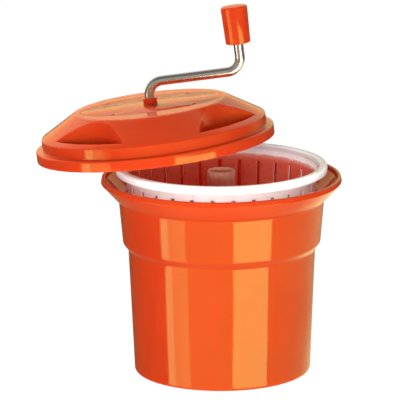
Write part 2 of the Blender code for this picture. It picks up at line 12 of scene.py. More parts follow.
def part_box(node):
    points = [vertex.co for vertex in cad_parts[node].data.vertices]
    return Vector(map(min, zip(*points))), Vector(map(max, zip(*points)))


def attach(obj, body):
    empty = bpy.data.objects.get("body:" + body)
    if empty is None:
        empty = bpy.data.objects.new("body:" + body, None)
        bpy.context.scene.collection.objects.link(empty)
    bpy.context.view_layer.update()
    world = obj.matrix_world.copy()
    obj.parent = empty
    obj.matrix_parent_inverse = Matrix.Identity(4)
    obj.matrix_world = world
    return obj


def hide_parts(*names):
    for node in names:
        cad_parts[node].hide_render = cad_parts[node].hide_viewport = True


mm = 0.001
tau = 2 * math.pi

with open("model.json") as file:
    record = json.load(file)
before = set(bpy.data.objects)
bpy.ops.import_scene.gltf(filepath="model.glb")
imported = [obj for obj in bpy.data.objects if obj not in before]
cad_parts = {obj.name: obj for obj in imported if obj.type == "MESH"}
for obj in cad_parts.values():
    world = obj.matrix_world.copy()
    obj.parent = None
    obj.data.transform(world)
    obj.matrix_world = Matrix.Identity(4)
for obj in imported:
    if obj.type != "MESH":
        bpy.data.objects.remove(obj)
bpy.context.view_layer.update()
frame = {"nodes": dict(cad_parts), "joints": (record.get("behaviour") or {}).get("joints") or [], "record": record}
joints = {joint["name"]: joint for joint in frame["joints"]}
print("frame loaded:", len(frame["nodes"]), "nodes")


def jointPlace(name):
    return Vector(joints[name]["pos_m"])


# Matrix with its X near along, its Z on up and its origin at origin.
def axesAt(origin, along, up):
    z = up.normalized()
    x = (along - along.dot(z) * z).normalized()
    y = z.cross(x)
    turn = Matrix((x, y, z)).transposed().to_4x4()
    return Matrix.Translation(origin) @ turn


lidUp = Vector(joints["crank_turn"]["axis"])
idlerLeft = jointPlace("idler_left_turn")
idlerRight = jointPlace("idler_right_turn")
lidPlace = axesAt((idlerLeft + idlerRight) / 2, idlerRight - idlerLeft, lidUp)
crankPlace = axesAt(lidPlace.translation, jointPlace("grip_spin") - lidPlace.translation, lidUp)
level = Matrix.Identity(4)


# Points along (x, y, radius) corners, each rounded by its radius.
def roundPath(corners, closed=True, turnStep=9):
    points = []
    count = len(corners)
    for i, (x, y, radius) in enumerate(corners):
        here = Vector((x, y))
        if radius <= 0 or (not closed and i in (0, count - 1)):
            points.append((x, y))
            continue
        before = Vector(corners[i - 1][:2]) - here
        after = Vector(corners[(i + 1) % count][:2]) - here
        opening = before.angle(after)
        reach = radius / math.tan(opening / 2)
        reach = min(reach, before.length * 0.49, after.length * 0.49)
        radius = reach * math.tan(opening / 2)
        bisector = (before.normalized() + after.normalized()).normalized()
        centre = here + bisector * radius / math.sin(opening / 2)
        start = here + before.normalized() * reach - centre
        end = here + after.normalized() * reach - centre
        sweep = start.angle_signed(end)
        steps = max(2, math.ceil(abs(math.degrees(sweep)) / turnStep))
        for k in range(steps + 1):
            a = -sweep * k / steps
            c, s = math.cos(a), math.sin(a)
            points.append((centre.x + c * start.x - s * start.y, centre.y + s * start.x + c * start.y))
    return points


def inMm(corners):
    return [tuple(v * mm for v in corner) for corner in corners]


# Turns a bmesh in a piece's own frame into a finished piece that rides on a body.
def makePiece(name, bm, place, material, body, replaced=(), sharpAngle=40):
    bmesh.ops.recalc_face_normals(bm, faces=bm.faces)
    mesh = bpy.data.meshes.new(name)
    bm.to_mesh(mesh)
    bm.free()
    mesh.transform(place)
    mesh.shade_smooth()
    mesh.set_sharp_from_angle(angle=math.radians(sharpAngle))
    mesh.materials.append(material)
    piece = bpy.data.objects.new(name, mesh)
    bpy.context.collection.objects.link(piece)
    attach(piece, body)
    if replaced:
        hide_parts(*replaced)
    return piece


# Turns a closed (r, z) outline about Z.
def lathe(profile, steps=160):
    bm = bmesh.new()
    rings = []
    for r, z in profile:
        if r < 1e-6:
            rings.append([bm.verts.new((0, 0, z))] * steps)
            continue
        turns = [tau * k / steps for k in range(steps)]
        rings.append([bm.verts.new((r * math.cos(a), r * math.sin(a), z)) for a in turns])
    for i, low in enumerate(rings):
        high = rings[(i + 1) % len(rings)]
        for k in range(steps):
            n = (k + 1) % steps
            corners = list(dict.fromkeys((low[k], low[n], high[n], high[k])))
            if len(corners) > 2:
                bm.faces.new(corners)
    return bm


# A closed shell from rows of points, each row a ring, the last row joined to the first.
def gridSkin(rows, closeEnds=True):
    bm = bmesh.new()
    made = [[bm.verts.new(point) for point in row] for row in rows]
    total = len(made)
    for i in range(total if closeEnds else total - 1):
        low, high = made[i], made[(i + 1) % total]
        for k in range(len(low)):
            n = (k + 1) % len(low)
            bm.faces.new((low[k], low[n], high[n], high[k]))
    return bm


def prism(outline, low, high):
    bm = bmesh.new()
    bottom = [bm.verts.new((x, y, low)) for x, y in outline]
    top = [bm.verts.new((x, y, high)) for x, y in outline]
    bm.faces.new(reversed(bottom))
    bm.faces.new(top)
    for k in range(len(outline)):
        n = (k + 1) % len(outline)
        bm.faces.new((bottom[k], bottom[n], top[n], top[k]))
    return bm


def ellipse(a, b, steps, centre=(0, 0)):
    return [(centre[0] + a * math.cos(tau * k / steps), centre[1] + b * math.sin(tau * k / steps))
            for k in range(steps)]


# Exact cuts by bmeshes given in the same frame as the piece's mesh, then applied.
def cutAway(piece, tools):
    made = []
    for bm in tools:
        bmesh.ops.recalc_face_normals(bm, faces=bm.faces)
        mesh = bpy.data.meshes.new("tool")
        bm.to_mesh(mesh)
        bm.free()
        tool = bpy.data.objects.new("tool", mesh)
        bpy.context.collection.objects.link(tool)
        change = piece.modifiers.new("cut", "BOOLEAN")
        change.object = tool
        change.solver = "EXACT"
        made.append(tool)
    depsgraph = bpy.context.evaluated_depsgraph_get()
    result = bpy.data.meshes.new_from_object(piece.evaluated_get(depsgraph))
    piece.modifiers.clear()
    piece.data = result
    for tool in made:
        bpy.data.objects.remove(tool, do_unlink=True)


def newMaterial(name):
    material = bpy.data.materials.new(name)
    material.use_nodes = True
    tree = material.node_tree
    return material, tree, tree.nodes["Principled BSDF"]


def addNode(tree, kind, **values):
    node = tree.nodes.new(kind)
    for key, value in values.items():
        if hasattr(node, key):
            setattr(node, key, value)
        else:
            node.inputs[key].default_value = value
    return node


# Noise on the object's own coordinates; scale is in repeats per metre.
def noise(tree, scale, detail=3.0, stretch=(1, 1, 1)):
    where = addNode(tree, "ShaderNodeTexCoord")
    spread = addNode(tree, "ShaderNodeMapping")
    spread.inputs["Scale"].default_value = stretch
    grain = addNode(tree, "ShaderNodeTexNoise", Scale=scale, Detail=detail)
    tree.links.new(where.outputs["Object"], spread.inputs["Vector"])
    tree.links.new(spread.outputs["Vector"], grain.inputs["Vector"])
    return grain


def mapRange(tree, source, low, high, fromLow=0.3, fromHigh=0.7):
    node = addNode(tree, "ShaderNodeMapRange", interpolation_type="SMOOTHSTEP")
    node.inputs["From Min"].default_value = fromLow
    node.inputs["From Max"].default_value = fromHigh
    node.inputs["To Min"].default_value = low
    node.inputs["To Max"].default_value = high
    tree.links.new(source, node.inputs["Value"])
    return node.outputs["Result"]


def multiply(tree, first, second):
    node = addNode(tree, "ShaderNodeMath", operation="MULTIPLY")
    tree.links.new(first, node.inputs[0])
    tree.links.new(second, node.inputs[1])
    return node.outputs["Value"]


def mixColour(tree, factor, first, second):
    node = addNode(tree, "ShaderNodeMix", data_type="RGBA")
    node.inputs["A"].default_value = (*first, 1)
    node.inputs["B"].default_value = (*second, 1)
    tree.links.new(factor, node.inputs["Factor"])
    return node.outputs["Result"]


def addBump(tree, shader, height, strength, distance):
    bump = addNode(tree, "ShaderNodeBump", Strength=strength, Distance=distance)
    tree.links.new(height, bump.inputs["Height"])
    tree.links.new(bump.outputs["Normal"], shader.inputs["Normal"])


# Moulded plastic: a slow drift of tone, soft flow ripple and fine handling marks.
def glossPlastic(name, colour, deep, roughness=(0.05, 0.10), depth=0.6, sheenTint=(0.55, 1.0, 0.22)):
    material, tree, shader = newMaterial(name)
    drift = noise(tree, 9, 2)
    tone = mixColour(tree, mapRange(tree, drift.outputs["Fac"], 0, 1), colour, deep)
    tree.links.new(tone, shader.inputs["Base Color"])
    wear = noise(tree, 160, 5, (1, 1, 0.25))
    tree.links.new(mapRange(tree, wear.outputs["Fac"], *roughness), shader.inputs["Roughness"])
    ripple = noise(tree, 38, 2)
    addBump(tree, shader, ripple.outputs["Fac"], 0.05, 0.0012)
    shader.inputs["IOR"].default_value = 1.5
    shader.inputs["Subsurface Weight"].default_value = depth
    shader.inputs["Subsurface Radius"].default_value = (1.0, 0.16, 0.05)
    shader.inputs["Subsurface Scale"].default_value = 0.014
    shader.inputs["Specular Tint"].default_value = (*sheenTint, 1)
    return material


# Satin plastic with a fine moulded texture.
def softPlastic(name, colour, deep, roughness=(0.3, 0.42), depth=0.0, grain=220):
    material, tree, shader = newMaterial(name)
    drift = noise(tree, 14, 2)
    tone = mixColour(tree, mapRange(tree, drift.outputs["Fac"], 0, 1), colour, deep)
    tree.links.new(tone, shader.inputs["Base Color"])
    fine = noise(tree, grain, 4)
    tree.links.new(mapRange(tree, fine.outputs["Fac"], *roughness), shader.inputs["Roughness"])
    addBump(tree, shader, fine.outputs["Fac"], 0.08, 0.0004)
    shader.inputs["Subsurface Weight"].default_value = depth
    shader.inputs["Subsurface Radius"].default_value = (1.0, 0.75, 0.6)
    shader.inputs["Subsurface Scale"].default_value = 0.012
    return material


# Bare metal with drawn lines and slight unevenness.
def metal(name, colour, deep, roughness=(0.12, 0.2), brush=(1, 1, 1)):
    material, tree, shader = newMaterial(name)
    lines = noise(tree, 420, 4, brush)
    tone = mixColour(tree, mapRange(tree, lines.outputs["Fac"], 0, 1), colour, deep)
    tree.links.new(tone, shader.inputs["Base Color"])
    tree.links.new(mapRange(tree, lines.outputs["Fac"], *roughness), shader.inputs["Roughness"])
    shader.inputs["Metallic"].default_value = 1.0
    addBump(tree, shader, lines.outputs["Fac"], 0.04, 0.0002)
    return material


orangePlastic = glossPlastic("orangeGlossPlastic", (0.60, 0.050, 0.011), (0.57, 0.045, 0.010))
redOrangePlastic = glossPlastic("redOrangePlastic", (0.68, 0.036, 0.008), (0.62, 0.030, 0.007), (0.15, 0.24))
whitePlastic = softPlastic("naturalWhitePlastic", (0.93, 0.86, 0.83), (0.91, 0.83, 0.80), (0.26, 0.36), 0.6)


# Paints red light into the basket's inside colour: painted light for the glow that comes through the orange wall.
def paintInsideRedLight(material, tint):
    tree = material.node_tree
    shader = tree.nodes["Principled BSDF"]
    where = addNode(tree, "ShaderNodeTexCoord")
    flat = addNode(tree, "ShaderNodeVectorMath", operation="MULTIPLY")
    flat.inputs[1].default_value = (1, 1, 0)
    tree.links.new(where.outputs["Object"], flat.inputs[0])
    radius = addNode(tree, "ShaderNodeVectorMath", operation="LENGTH")
    tree.links.new(flat.outputs["Vector"], radius.inputs[0])
    split = addNode(tree, "ShaderNodeSeparateXYZ")
    tree.links.new(where.outputs["Object"], split.inputs["Vector"])
    middle = addNode(tree, "ShaderNodeMath", operation="MULTIPLY_ADD")
    middle.inputs[1].default_value = tint["slope"]
    middle.inputs[2].default_value = tint["footRadius"]
    tree.links.new(split.outputs["Z"], middle.inputs[0])
    within = addNode(tree, "ShaderNodeMath", operation="SUBTRACT")
    tree.links.new(middle.outputs["Value"], within.inputs[0])
    tree.links.new(radius.outputs["Value"], within.inputs[1])
    factor = multiply(tree, mapRange(tree, within.outputs["Value"], 0, 1, -0.0008, 0.0008),
                      mapRange(tree, split.outputs["Z"], 1, 0, tint["full"], tint["none"]))
    plain = shader.inputs["Base Color"].links[0].from_socket
    redLightPaintMix = addNode(tree, "ShaderNodeMix", data_type="RGBA")
    tree.links.new(factor, redLightPaintMix.inputs["Factor"])
    tree.links.new(plain, redLightPaintMix.inputs["A"])
    # painted red light: the colour of the glow through the orange wall
    redLightPaintMix.inputs["B"].default_value = (*tint["colour"], 1)
    tree.links.new(redLightPaintMix.outputs["Result"], shader.inputs["Base Color"])


# Painted red light inside the basket: its colour, the inner wall's slope and foot radius, and the heights where it
# fades.
insideRedLightPaint = {
    "colour": (0.50, 0.105, 0.065), "slope": 0.0847, "footRadius": 0.1073,  # metres
    "full": 0.271, "none": 0.295,  # heights between which the painted red light fades out
}
# painted red light on the white plastic's inside
paintInsideRedLight(whitePlastic, insideRedLightPaint)
# Pale plastic with a painted pink cast: the red light inside the basket painted into the column's colour.
columnPlasticPaintedRedLight = softPlastic("columnPlasticPaintedRedLight", (0.84, 0.50, 0.40), (0.80, 0.46, 0.36), (0.26, 0.36), 0.6)
nylon = softPlastic("naturalNylon", (0.80, 0.78, 0.70), (0.76, 0.74, 0.66), (0.35, 0.5))
greyPlastic = softPlastic("paleGreyPlastic", (0.62, 0.62, 0.61), (0.57, 0.57, 0.56), (0.38, 0.5))
stainless = metal("polishedStainless", (0.80, 0.775, 0.76), (0.74, 0.715, 0.70), (0.26, 0.34), (1, 1, 0.2))
bronze = metal("sinteredBronze", (0.52, 0.35, 0.15), (0.44, 0.29, 0.12), (0.35, 0.5))
slotMaterials = {
    "orange_plastic": orangePlastic,
    "red_orange_plastic": redOrangePlastic,
    "white_plastic": whitePlastic,
    "nylon": nylon,
    "grey_plastic": greyPlastic,
    "stainless": stainless,
    "bronze": bronze,
}
print("materials made:", len(slotMaterials))


# Gives each CAD node its slot's material.
def dressCadNodes():
    for part in frame["record"]["subparts"]:
        node = frame["nodes"][part["node"]]
        node.data.materials.clear()
        node.data.materials.append(slotMaterials[part["material_slot"]])


bucketShape = {
    "foot": 122.6, "footRound": 4.5, "waist": 126.5, "waistHeight": 95.0,  # lower wall, radii and heights
    "shoulderIn": 129.9, "shoulderHeight": 173.0, "shoulderRise": 13.0, "collarLow": 137.4,  # step out
    "collarTop": 142.5, "collarHeight": 244.2, "wall": 3.0, "floor": 4.0,  # collar, thickness
    "steps": 256,  # faces round the tub
}


# The soft step from the lower wall out to the collar.
def shoulderCurve(shape, steps=14):
    reach = shape["collarLow"] - shape["shoulderIn"]
    points = []
    for k in range(steps + 1):
        swing = 0.5 - 0.5 * math.cos(math.pi * k / steps)
        z = shape["shoulderHeight"] + shape["shoulderRise"] * k / steps
        points.append((shape["shoulderIn"] + reach * swing, z))
    return points


def makeBucket(shape):
    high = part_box("bucket")[1].z / mm
    lip = high - 7.4
    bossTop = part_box("pivot_washer")[0].z / mm - 0.3
    outside = [
        (0, 0.5, 0), (30, 0.5, 0.3), (31, 0, 0.3), (shape["foot"], 0, shape["footRound"]),
        (shape["waist"], shape["waistHeight"], 400),
        *[(r, z, 0) for r, z in shoulderCurve(shape)],
        (shape["collarTop"], shape["collarHeight"], 3.0),
        (147.6, 248.2, 12), (157.2, 258.6, 40), (165.2, 268.0, 0.8),
    ]
    rim = [(166.85, lip, 1.0), (165.6, high, 1.6), (161.6, high, 1.5)]
    inside = [
        (160.9, lip + 0.6, 6), (153.6, 259.0, 40), (145.2, 249.8, 12),
        (shape["collarTop"] - shape["wall"], shape["collarHeight"] + 0.6, 3.0),
        *[(r - shape["wall"], z + 1.0, 0) for r, z in reversed(shoulderCurve(shape))],
        (shape["waist"] - shape["wall"], shape["waistHeight"], 400),
        (shape["foot"] - shape["wall"], shape["floor"], 5.0),
    ]
    boss = [(16.0, 4.0, 1.5), (16.0, bossTop, 0.8), (4.3, bossTop, 0.5), (4.3, 11.2, 0), (0, 11.2, 0)]
    profile = roundPath(inMm(outside + rim + inside + boss))
    bm = lathe(profile, shape["steps"])
    return makePiece("bucketTub", bm, level, orangePlastic, "bucket", ["bucket"])


basketShape = {
    "slots": 29, "phase": 4.0, "slotWidth": 5.5,  # phase turns the slots, in degrees
    "panelLines": (0.8, 1.9, 3.4, 5.4, 8.4),  # distances from a slot's edge
    "floor": 40.0, "foot": 112.0, "top": 131.7, "topHeight": 272.5, "wall": 2.6, "hubHole": 14.0,
    "rows": ((52, 119), (127, 194.5), (202.5, 270.3)),  # heights of the three rows of slots
    "panelRise": 0.6, "panelLow": 46.0, "panelHigh": 280.5, "panelRound": 4.5, "panelEdge": 0.8,
    "groove": 0.35, "grooveHalf": 3.7, "grooveTop": 281.0, "reliefFrom": 108.0, "reliefTo": 135.0,
    "rimLow": 282.0, "rimTop": 293.0, "rimOut": 147.0, "rimIn": 137.2,
}


# Upright lines round the basket: slot edges, then the lines across each plain panel.
def basketAngles(shape):
    pitch = tau / shape["slots"]
    half = shape["slotWidth"] / shape["top"] / 2
    gap = pitch - 2 * half
    lines = [0.0] + [width / shape["top"] for width in shape["panelLines"]]
    lines += [gap / 2] + [gap - line for line in reversed(lines[1:])]
    angles, inSlot = [], []
    for k in range(shape["slots"]):
        middle = math.radians(shape["phase"]) + k * pitch
        angles.append(middle - half)
        inSlot.append(True)
        for line in lines:
            angles.append(middle + half + line)
            inSlot.append(False)
    return angles, inSlot


# Matching outer and inner (r, z) points from the hub's hole to the rim, and the rows open at the slots.
def basketSections(shape):
    hole, floor = shape["hubHole"], shape["floor"]
    pairs = [((hole, floor), (hole, floor + 3)), ((40, floor), (40, floor + 3)),
             ((95, floor), (95, floor + 3)), ((108.5, 40), (106, 43)),
             ((110.6, 40.9), (108.3, 43.6)), ((112, 44), (109.6, 46))]
    openRows = {1}
    for low, high in shape["rows"]:
        openRows.add(len(pairs))
        for z in (low, high):
            t = (z - floor) / (shape["topHeight"] - floor)
            r = shape["foot"] + (shape["top"] - shape["foot"]) * t
            pairs.append(((r, z), (r - shape["wall"], z)))
    neckOut = ((270.3, 276.5, 280.5, 283.0), (131.5, 132.0, 133.2, 134.2))
    neckIn = ((270.3, 276.0, 280.2, 283.6), (128.9, 129.6, 131.4, 132.8))
    for z in (271.6, 273.0, 274.4, 275.6, 276.6, 277.6, 278.6, 279.4, 280.2, 281.0, 281.8, 282.6):
        pairs.append(((np.interp(z, *neckOut), z), (np.interp(z, *neckIn), z)))
    rimOut, rimIn, rimTop, rimLow = shape["rimOut"], shape["rimIn"], shape["rimTop"], shape["rimLow"]
    pairs += [((134.4, 284.6), (133.2, 284.6)), ((134.5, 288.6), (135.3, 288.8)),
              ((135.2, 289.6), (rimIn - 1.0, 291.2)), ((137.0, 290.2), (rimIn - 0.1, 292.2)),
              ((139.0, 290.4), (rimIn + 1.0, 292.8)), ((141.6, 290.4), (rimIn + 2.4, rimTop)),
              ((143.6, 289.9), (rimOut - 3.4, rimTop)), ((144.3, 288.6), (rimOut - 1.9, rimTop - 0.5)),
              ((144.4, 286.0), (rimOut - 0.7, rimTop - 1.6)), ((144.5, rimLow + 0.5), (rimOut, rimTop - 3.3)),
              ((144.8, rimLow), (rimOut - 0.3, rimLow + 1.4)),
              ((145.6, rimLow - 0.15), (rimOut - 0.8, rimLow + 0.3))]
    return pairs, openRows


# Faint grooves above the slots outside, and raised round-cornered panels between them inside.
def basketRelief(shape, side, z, angle):
    pitch = tau / shape["slots"]
    turn = angle - math.radians(shape["phase"])
    away = abs((turn + pitch / 2) % pitch - pitch / 2) * shape["top"]
    if side == 0:
        above = shape["rows"][-1][1] < z < shape["grooveTop"]
        return -shape["groove"] * max(0.0, 1 - (away / shape["grooveHalf"]) ** 2) if above else 0.0
    halfWidth = (pitch * shape["top"] - shape["slotWidth"]) / 2
    across = pitch * shape["top"] / 2 - away
    upright = abs(z - (shape["panelLow"] + shape["panelHigh"]) / 2)
    halfHeight = (shape["panelHigh"] - shape["panelLow"]) / 2
    cornerX = max(0.0, across - halfWidth + shape["panelRound"])
    cornerZ = max(0.0, upright - halfHeight + shape["panelRound"])
    inside = shape["panelRound"] - math.hypot(cornerX, cornerZ)
    return -shape["panelRise"] * min(1.0, max(0.0, inside / shape["panelEdge"]))


def makeBasket(shape):
    angles, inSlot = basketAngles(shape)
    pairs, openRows = basketSections(shape)
    count = len(angles)
    bm = bmesh.new()
    skins = []
    for side in (0, 1):
        rows = []
        for pair in pairs:
            r, z = pair[side]
            moulded = shape["reliefFrom"] < r < shape["reliefTo"]
            ring = []
            for a in angles:
                skinRadius = (r + (basketRelief(shape, side, z, a) if moulded else 0)) * mm
                ring.append(bm.verts.new((skinRadius * math.cos(a), skinRadius * math.sin(a), z * mm)))
            rows.append(ring)
        skins.append(rows)
    outer, inner = skins
    for i in range(len(pairs) - 1):
        for k in range(count):
            n = (k + 1) % count
            if i in openRows and inSlot[k]:
                loop = ((i, k), (i, n), (i + 1, n), (i + 1, k))
                for (ra, ca), (rb, cb) in zip(loop, loop[1:] + loop[:1]):
                    bm.faces.new((outer[ra][ca], outer[rb][cb], inner[rb][cb], inner[ra][ca]))
                continue
            for rows in skins:
                bm.faces.new((rows[i][k], rows[i][n], rows[i + 1][n], rows[i + 1][k]))
    for i in (0, -1):
        for k in range(count):
            n = (k + 1) % count
            bm.faces.new((outer[i][k], outer[i][n], inner[i][n], inner[i][k]))
    return makePiece("basketBowl", bm, level, whitePlastic, "basket", ["basket"], 35)


columnShape = {
    "radius": 19.2, "fluteDepth": 1.2, "flutes": 12, "perFlute": 16, "edge": 0.8, "bore": 16.2,
    "foot": 43.3, "boreFloor": 62.0, "spigot": 13.7, "bearingBore": 7.9,
}


def makeColumn(shape):
    spigotLow, high = (corner.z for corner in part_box("basket_column"))
    low, boreFloor = shape["foot"] * mm, shape["boreFloor"] * mm
    count = shape["flutes"] * shape["perFlute"]
    edge = shape["edge"]

    def ring(radius, z, depth):
        points = []
        for k in range(count):
            a = tau * k / count
            wave = 0.5 - 0.5 * math.cos(shape["flutes"] * a)
            r = (radius - depth * wave ** 1.4) * mm
            points.append((r * math.cos(a), r * math.sin(a), z))
        return points

    depth, radius, bore = shape["fluteDepth"], shape["radius"], shape["bore"]
    rows = [ring(radius, low, depth), ring(radius, high - edge * mm, depth)]
    rows += [ring(radius - 0.25 * edge, high - 0.25 * edge * mm, depth)]
    rows += [ring(radius - edge, high, depth * 0.8)]
    rows += [ring(bore + 0.4, high, 0), ring(bore, high - 0.4 * mm, 0), ring(bore, boreFloor, 0)]
    rows += [ring(shape["bearingBore"], boreFloor, 0), ring(shape["bearingBore"], spigotLow, 0)]
    rows += [ring(shape["spigot"], spigotLow, 0), ring(shape["spigot"], low, 0)]
    return makePiece("driveColumn", gridSkin(rows), level, columnPlasticPaintedRedLight, "basket", ["basket_column"],
                     50)


lidShape = {
    "band": 165.2, "bandHeight": 14.9, "tier": 155.5, "plateau": 106.0, "top": 60.0, "topRound": 7.0,
    "edgeHeight": 29.8,
    "scoops": 4, "scoopRadius": 103.5, "scoopOut": 215.0, "scoopFloor": 26.5,
    "ridgeIn": 149.6, "draft": 7.0, "cornerSoft": 3.0, "edgeSoft": 5.0,
    "plateLong": 97.5, "plateWide": 68.0, "recess": 3.3, "ledge": 9.0, "steps": 720,  # seat of the oval cover
}


def smoothMin(a, b, k):
    h = np.clip(0.5 + 0.5 * (b - a) / k, 0, 1)
    return b * (1 - h) + a * h - k * h * (1 - h)


def ovalRadius(a, b, angle):
    return a * b / np.hypot(b * np.cos(angle), a * np.sin(angle))


# Height of the lid's skin; inward gives the hidden skin below it.
def lidHeight(shape, r, angle, inward=0.0):
    topZ = shape["top"] - inward * 1.83
    cone = roundPath([(0, topZ, 0), (shape["plateau"] - inward * 0.4, topZ, shape["topRound"]),
                      (shape["tier"] + 4, shape["edgeHeight"] - 4 * 0.62 - inward * 1.2, 0)], False, 4)
    xs, zs = zip(*cone)
    z = np.interp(r, xs, zs)
    x, y = r * np.cos(angle), r * np.sin(angle)
    for k in range(shape["scoops"]):
        turn = tau * (k + 0.5) / shape["scoops"]
        fromScoop = np.hypot(x - shape["scoopOut"] * math.cos(turn), y - shape["scoopOut"] * math.sin(turn))
        side = fromScoop - shape["scoopRadius"] - inward
        front = r - shape["ridgeIn"] - inward
        edge = -smoothMin(-side, -front, shape["cornerSoft"])
        depth = -edge
        floor = shape["scoopFloor"] - inward
        soft = floor - 0.4 + np.log1p(np.exp(np.clip((4.0 - depth) * 2.2, -30, 30))) / 2.2 * shape["draft"]
        wallZ = np.where(depth > 12, floor - 0.4, soft)
        z = smoothMin(z, wallZ, shape["edgeSoft"])
    return z


# Radii for one upright slice, crowded where the scoop's wall and the ridge stand.
def lidStations(shape, angle, grow=0.0):
    lens = shape["ridgeIn"] + grow
    quarter = tau / shape["scoops"]
    away = (angle % quarter) - quarter / 2
    under = (shape["scoopRadius"] + grow) ** 2 - (shape["scoopOut"] * math.sin(away)) ** 2
    wall = lens - 6.0
    if under > 0:
        wall = min(wall, shape["scoopOut"] * math.cos(away) - math.sqrt(under))
    start = shape["plateau"] - 6.0
    fill = np.linspace(start, wall - 1.2, 16, endpoint=False)
    steep = np.linspace(wall - 1.2, wall + 6.0, 34, endpoint=False)
    between = np.linspace(wall + 6.0, max(lens - 5.0, wall + 6.2), 10, endpoint=False)
    ridge = np.linspace(max(lens - 5.0, wall + 6.2), 152.8, 22)
    return np.concatenate([fill, steep, between, ridge])


def makeLid(shape):
    steps, band = shape["steps"], shape["band"]
    columns = []
    for k in range(steps):
        a = tau * k / steps
        plateOut = ovalRadius(shape["plateLong"], shape["plateWide"], a)
        opening = ovalRadius(shape["plateLong"] - shape["ledge"], shape["plateWide"] - shape["ledge"], a)
        top, recess = shape["top"], shape["top"] - shape["recess"]
        path = [(opening, recess), (plateOut - 0.2, recess), (plateOut, recess + 0.2),
                (plateOut, top - 0.5), (plateOut + 0.15, top - 0.15), (plateOut + 0.5, top)]
        path += [(r, top) for r in np.linspace(plateOut + 1.2, shape["plateau"] - 6.4, 4)]
        r = lidStations(shape, a)
        path += list(zip(r, lidHeight(shape, r, a)))
        outerEdge = roundPath([(152.8, 31.45, 0), (shape["tier"], 29.8, 2.2), (156.2, 15.0, 0.9),
                               (band, shape["bandHeight"], 2.6), (band, 0, 0.7), (162.9, 0, 0.5),
                               (162.5, 10.8, 1.5), (153.6, 12.0, 1.0), (152.6, 27.8, 0.0)], False, 12)
        path += outerEdge[1:]
        inner = lidStations(shape, a, 3.0)[::-1][6::3]
        path += list(zip(inner, lidHeight(shape, inner, a, 3.0)))
        path += [(opening, shape["top"] - 5.5)]
        columns.append([(p[0] * math.cos(a) * mm, p[0] * math.sin(a) * mm, p[1] * mm) for p in path])
    rows = [[column[i] for column in columns] for i in range(len(columns[0]))]
    return makePiece("lidDome", gridSkin(rows), lidPlace, orangePlastic, "lid", ["lid_shell"],
                     50)


plateShape = {"long": 97.1, "wide": 67.6, "thick": 3.0, "edge": 0.5, "bushHole": 10.5,
              "screwX": 56.0, "screwY": 48.0, "seat": 3.3, "seatDepth": 2.0, "screwHole": 1.9}


def makeTopPlate(shape):
    low, top = lidShape["top"] - shape["thick"], lidShape["top"]
    rows = []
    for inset, z in ((0, low), (0, top - shape["edge"]), (0.15, top - 0.15), (shape["edge"], top)):
        outline = ellipse((shape["long"] - inset) * mm, (shape["wide"] - inset) * mm, 240)
        rows.append([(x, y, z * mm) for x, y in outline])
    hole = shape["bushHole"] * mm
    for z in (top, low):
        rows.append([(x, y, z * mm) for x, y in ellipse(hole, hole, 240)])
    plate = makePiece("ovalCover", gridSkin(rows), level, orangePlastic, "lid", ["top_plate"],
                      50)
    tools = []
    for sx in (-1, 1):
        for sy in (-1, 1):
            spot = (sx * shape["screwX"] * mm, sy * shape["screwY"] * mm)
            seat = shape["seat"] * mm
            floor = (top - shape["seatDepth"]) * mm
            tools.append(prism(ellipse(seat, seat, 32, spot), floor, (top + 1) * mm))
            through = shape["screwHole"] * mm
            tools.append(prism(ellipse(through, through, 20, spot), (low - 1) * mm, (top + 1) * mm))
    cutAway(plate, tools)
    plate.data.transform(lidPlace)
    plate.data.shade_smooth()
    plate.data.set_sharp_from_angle(angle=math.radians(30))
    return plate


screwShape = {"tip": 43.6, "shank": 1.5, "head": 2.9, "rise": 0.9, "crossReach": 1.7, "crossHalf": 0.28}


# Cross-headed screws, each a turned blank with a cut cross.
def makeCoverScrews(shape):
    number = 0
    for sx in (-1, 1):
        for sy in (-1, 1):
            number += 1
            node = f"cover_screw_{number}"
            spot = Matrix.Translation((sx * plateShape["screwX"] * mm, sy * plateShape["screwY"] * mm, 0))
            seat = lidShape["top"] - plateShape["seatDepth"] + 0.3
            tip, shank, head, top = shape["tip"], shape["shank"], shape["head"], seat + shape["rise"]
            profile = roundPath(inMm([(0, tip, 0), (shank, tip + 1, 0.2), (shank, seat, 0), (head, seat, 0.2),
                                      (head, top - 0.5, 0.5), (1.4, top - 0.05, 2), (0, top, 0)]))
            screw = makePiece(f"coverScrew{number}", lathe(profile, 40), level, stainless, "lid", [node])
            arms = []
            for corner in range(4):
                turn = Matrix.Rotation(tau * corner / 4, 2)
                reach, half = shape["crossReach"], shape["crossHalf"]
                for x, y in ((reach, -half), (reach, half), (half, half)):
                    point = turn @ Vector((x * mm, y * mm))
                    arms.append((point.x, point.y))
            cutAway(screw, [prism(arms, (seat + 0.35) * mm, (seat + 2) * mm)])
            screw.data.transform(lidPlace @ spot)


gripShape = {"low": 128.5, "height": 53.3, "lowRadius": 17.0, "topRadius": 18.5, "bore": 9.3, "roof": 45.0}
crankShape = {"rod": 6.75, "armHeight": 90.6, "bend": 19.0, "foot": 24.4, "sides": 48, "bendSteps": 18}


# Distance from the crank's axis to the grip's.
def crankThrow():
    reach = jointPlace("grip_spin") - lidPlace.translation
    return (reach - reach.dot(lidUp) * lidUp).length


